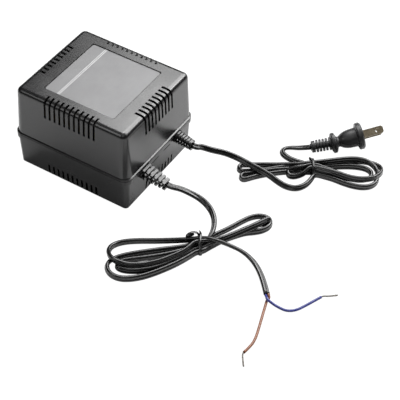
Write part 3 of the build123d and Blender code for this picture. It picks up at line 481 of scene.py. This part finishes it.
def ribbon(name, line, wide, width, thick):
    """A flat paper-and-plastic tie with its wire as a ridge down the middle."""
    t = tangents(line)
    wide = wide - (wide * t).sum(1)[:, None] * t
    wide /= np.linalg.norm(wide, axis=1)[:, None]
    out = np.cross(t, wide)
    w, h = width / 2, thick / 2
    sec = [(-w, 0.0), (-w * 0.92, h * 0.8), (-w * 0.45, h), (-w * 0.25, h * 1.7), (0, h * 2.1), (w * 0.25, h * 1.7),
           (w * 0.45, h), (w * 0.92, h * 0.8), (w, 0.0), (w * 0.92, -h * 0.8), (w * 0.45, -h), (w * 0.25, -h * 1.5),
           (0, -h * 1.8), (-w * 0.25, -h * 1.5), (-w * 0.45, -h), (-w * 0.92, -h * 0.8)]
    sec = np.array(sec)
    rings = line[:, None, :] + sec[None, :, 0:1] * wide[:, None, :] + sec[None, :, 1:2] * out[:, None, :]
    return rings


def tie_points(at, points):
    return [tuple(at + a * ALONG + p * ACROSS + np.array([0, 0, z])) for a, p, z in points]


def tie(name, at, loop, tail):
    line = line_of(tie_points(at, loop), 8)
    rings = [ribbon(name, line, np.tile(ALONG, (len(line), 1)), 2.5 * MM, 0.55 * MM)]
    for points, wide_from, turns in tail:
        path = line_of(tie_points(at, points), 8)
        s = np.linspace(0, 1, len(path))
        t = tangents(path)
        a0 = wide_from[0] * ALONG + wide_from[1] * ACROSS + np.array([0, 0, wide_from[2]])
        n = a0 - (t @ a0)[:, None] * t
        n /= np.linalg.norm(n, axis=1)[:, None]
        b = np.cross(t, n)
        ang = 2 * math.pi * turns * s
        wide = np.cos(ang)[:, None] * n + np.sin(ang)[:, None] * b
        rings.append(ribbon(name, path, wide, 2.4 * MM, 0.5 * MM))
    o = link(name + "_ribbon", join(name, rings), MAT["tie"])
    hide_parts(name)
    return o


OUTPUT_LOOP = [(-0.6, 6.9, 10.6), (-0.4, 7.4, 8.4), (-0.2, 7.3, 4.0), (0, 7.2, 1.0), (0, 5.2, 0.5), (0, 0, 0.52), (0, -4.6, 0.5),
               (0.2, -6.2, 0.7), (0.4, -6.3, 3.0), (0.4, -6.0, 5.6), (0.2, -3.2, 7.4), (0, -0.4, 9.9), (0, 2.0, 10.7), (0.3, 4.6, 10.8),
               (0.5, 6.6, 11.2)]
OUTPUT_TAILS = [
    ([(0.5, 6.4, 11.0), (0.4, 7.2, 11.6), (0.1, 7.5, 12.6), (0.0, 7.2, 13.6)], (1, 0, 0), 0.3),
    ([(-0.6, 6.6, 10.4), (-1.2, 7.0, 11.6), (-2.6, 7.0, 12.6), (-5.0, 6.6, 13.6), (-8.0, 6.0, 13.2), (-10.4, 5.6, 11.6), (-10.4, 5.6, 10.0),
      (-8.2, 5.8, 10.2), (-5.6, 6.2, 11.2), (-4.6, 6.4, 12.0)], (0, 1, 0), 0.1),
]
MAINS_LOOP = [(-0.6, 4.4, 10.2), (-0.4, 5.2, 7.6), (-0.2, 5.4, 4.0), (0, 5.2, 1.0), (0, 3.4, 0.5), (0, -2.0, 0.52), (0, -7.4, 0.5),
              (0.2, -9.0, 0.8), (0.4, -9.1, 3.0), (0.4, -8.7, 5.6), (0.4, -6.8, 9.0), (0.4, -5.0, 10.7), (0.4, -2.0, 10.9), (0.3, 1.2, 10.9),
              (0.2, 3.4, 11.0)]
MAINS_TAILS = [
    ([(0.4, 2.2, 10.7), (-0.4, 3.2, 10.9), (-1.4, 3.9, 10.8), (-2.4, 4.0, 10.3)], (1, 0.4, 0), 0.35),
    ([(0.2, 2.4, 11.3), (0.3, 0.6, 11.5), (0.3, -1.6, 11.5), (0.2, -3.4, 11.1)], (1, 0, 0), 0.0),
]
output_tie = tie("output_tie", OUTPUT_TIE_AT, OUTPUT_LOOP, OUTPUT_TAILS)
mains_tie = tie("mains_tie", MAINS_TIE_AT, MAINS_LOOP, MAINS_TAILS)

# ---------------------------------------------------------------- hide the imported cord lead, hank and tail pieces
o, line, width = CORDS["output_cord"]
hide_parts("output_cord_lead", "output_cord_hank", "output_cord_tail")
o, line, width = CORDS["mains_cord"]
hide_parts("mains_cord_lead", "mains_cord_hank", "mains_cord_tail")

# ---------------------------------------------------------------- floor and light
floor_mesh = bpy.data.meshes.new("floor")
floor_mesh.from_pydata([(-6, -6, 0), (6, -6, 0), (6, 6, 0), (-6, 6, 0)], [], [(0, 1, 2, 3)])
floor = bpy.data.objects.new("floor", floor_mesh)
bpy.context.scene.collection.objects.link(floor)
floor.location.z = -0.0002
fm, fnt, fb = new_material("floor_paper_painted_light_pool")
fb.inputs["Roughness"].default_value = 0.9
fb.inputs["Specular IOR Level"].default_value = 0.1
# Painted pool of light: the floor's base colour is pale near the object and fades to grey further out, standing in for
# lamp light falling off away from it.
spot = add(fnt, "ShaderNodeVectorMath", operation="LENGTH")
fnt.links.new(coords(fnt), spot.inputs[0])
light_pool_falloff = spread_to(fnt, spot.outputs["Value"], 1.0, 0.0, 0.36, 0.85)
painted_light_pool = ramp(fnt, light_pool_falloff, [(0.0, (0.30, 0.30, 0.30)), (1.0, (0.90, 0.90, 0.90))])
fnt.links.new(painted_light_pool, fb.inputs["Base Color"])
white = add(fnt, "ShaderNodeEmission")
white.inputs["Strength"].default_value = 1.1
rays = add(fnt, "ShaderNodeLightPath")
part = add(fnt, "ShaderNodeMath", operation="MULTIPLY")
fnt.links.new(rays.outputs["Is Camera Ray"], part.inputs[0])
part.inputs[1].default_value = 0.9
both = add(fnt, "ShaderNodeMixShader")
fnt.links.new(part.outputs["Value"], both.inputs[0])
fnt.links.new(fb.outputs["BSDF"], both.inputs[1])
fnt.links.new(white.outputs["Emission"], both.inputs[2])
fnt.links.new(both.outputs["Shader"], fnt.nodes["Material Output"].inputs["Surface"])
floor_mesh.materials.append(fm)

world = bpy.data.worlds.new("studio")
world.use_nodes = True
bg = world.node_tree.nodes["Background"]
bg.inputs["Color"].default_value = (1, 1, 1, 1)
bg.inputs["Strength"].default_value = 0.03
bpy.context.scene.world = world


def softbox(name, azimuth, elevation, distance, size, power, look=(0.0, -0.06, 0.03)):
    """A rectangular lamp seen from the object at an azimuth and elevation, in degrees."""
    d = bpy.data.lights.new(name, "AREA")
    d.shape = "RECTANGLE"
    d.size, d.size_y = size
    d.energy = power
    o = bpy.data.objects.new(name, d)
    a, e = math.radians(azimuth), math.radians(elevation)
    at = Vector(look) + distance * Vector((math.cos(e) * math.cos(a), math.cos(e) * math.sin(a), math.sin(e)))
    o.location = at
    o.rotation_euler = (Vector(look) - at).to_track_quat("-Z", "Y").to_euler()
    bpy.context.scene.collection.objects.link(o)
    return o


softbox("key_box", 16, 50, 1.5, (0.90, 0.50), 16.5)
softbox("hair_box", 38, 62, 1.5, (0.45, 0.40), 7.0)
softbox("top_box", -18, 58, 1.5, (0.60, 0.45), 5.0)
softbox("lip_box", -25, 43, 1.5, (0.40, 0.28), 9.0)
softbox("low_box", -8, 26, 1.5, (0.90, 0.55), 9.5)
softbox("side_box", -50, 46, 1.5, (0.60, 0.60), 4.4)
softbox("rim_box", 150, 38, 1.5, (0.45, 0.60), 3.4)
softbox("fill_box", 203, 50, 1.5, (0.50, 0.50), 2.0)
softbox("ceiling_box", 0, 88, 1.6, (1.6, 1.6), 7.0)

scene = bpy.context.scene
scene.view_settings.view_transform = "Standard"
scene.view_settings.look = "None"
scene.view_settings.exposure = 0.0
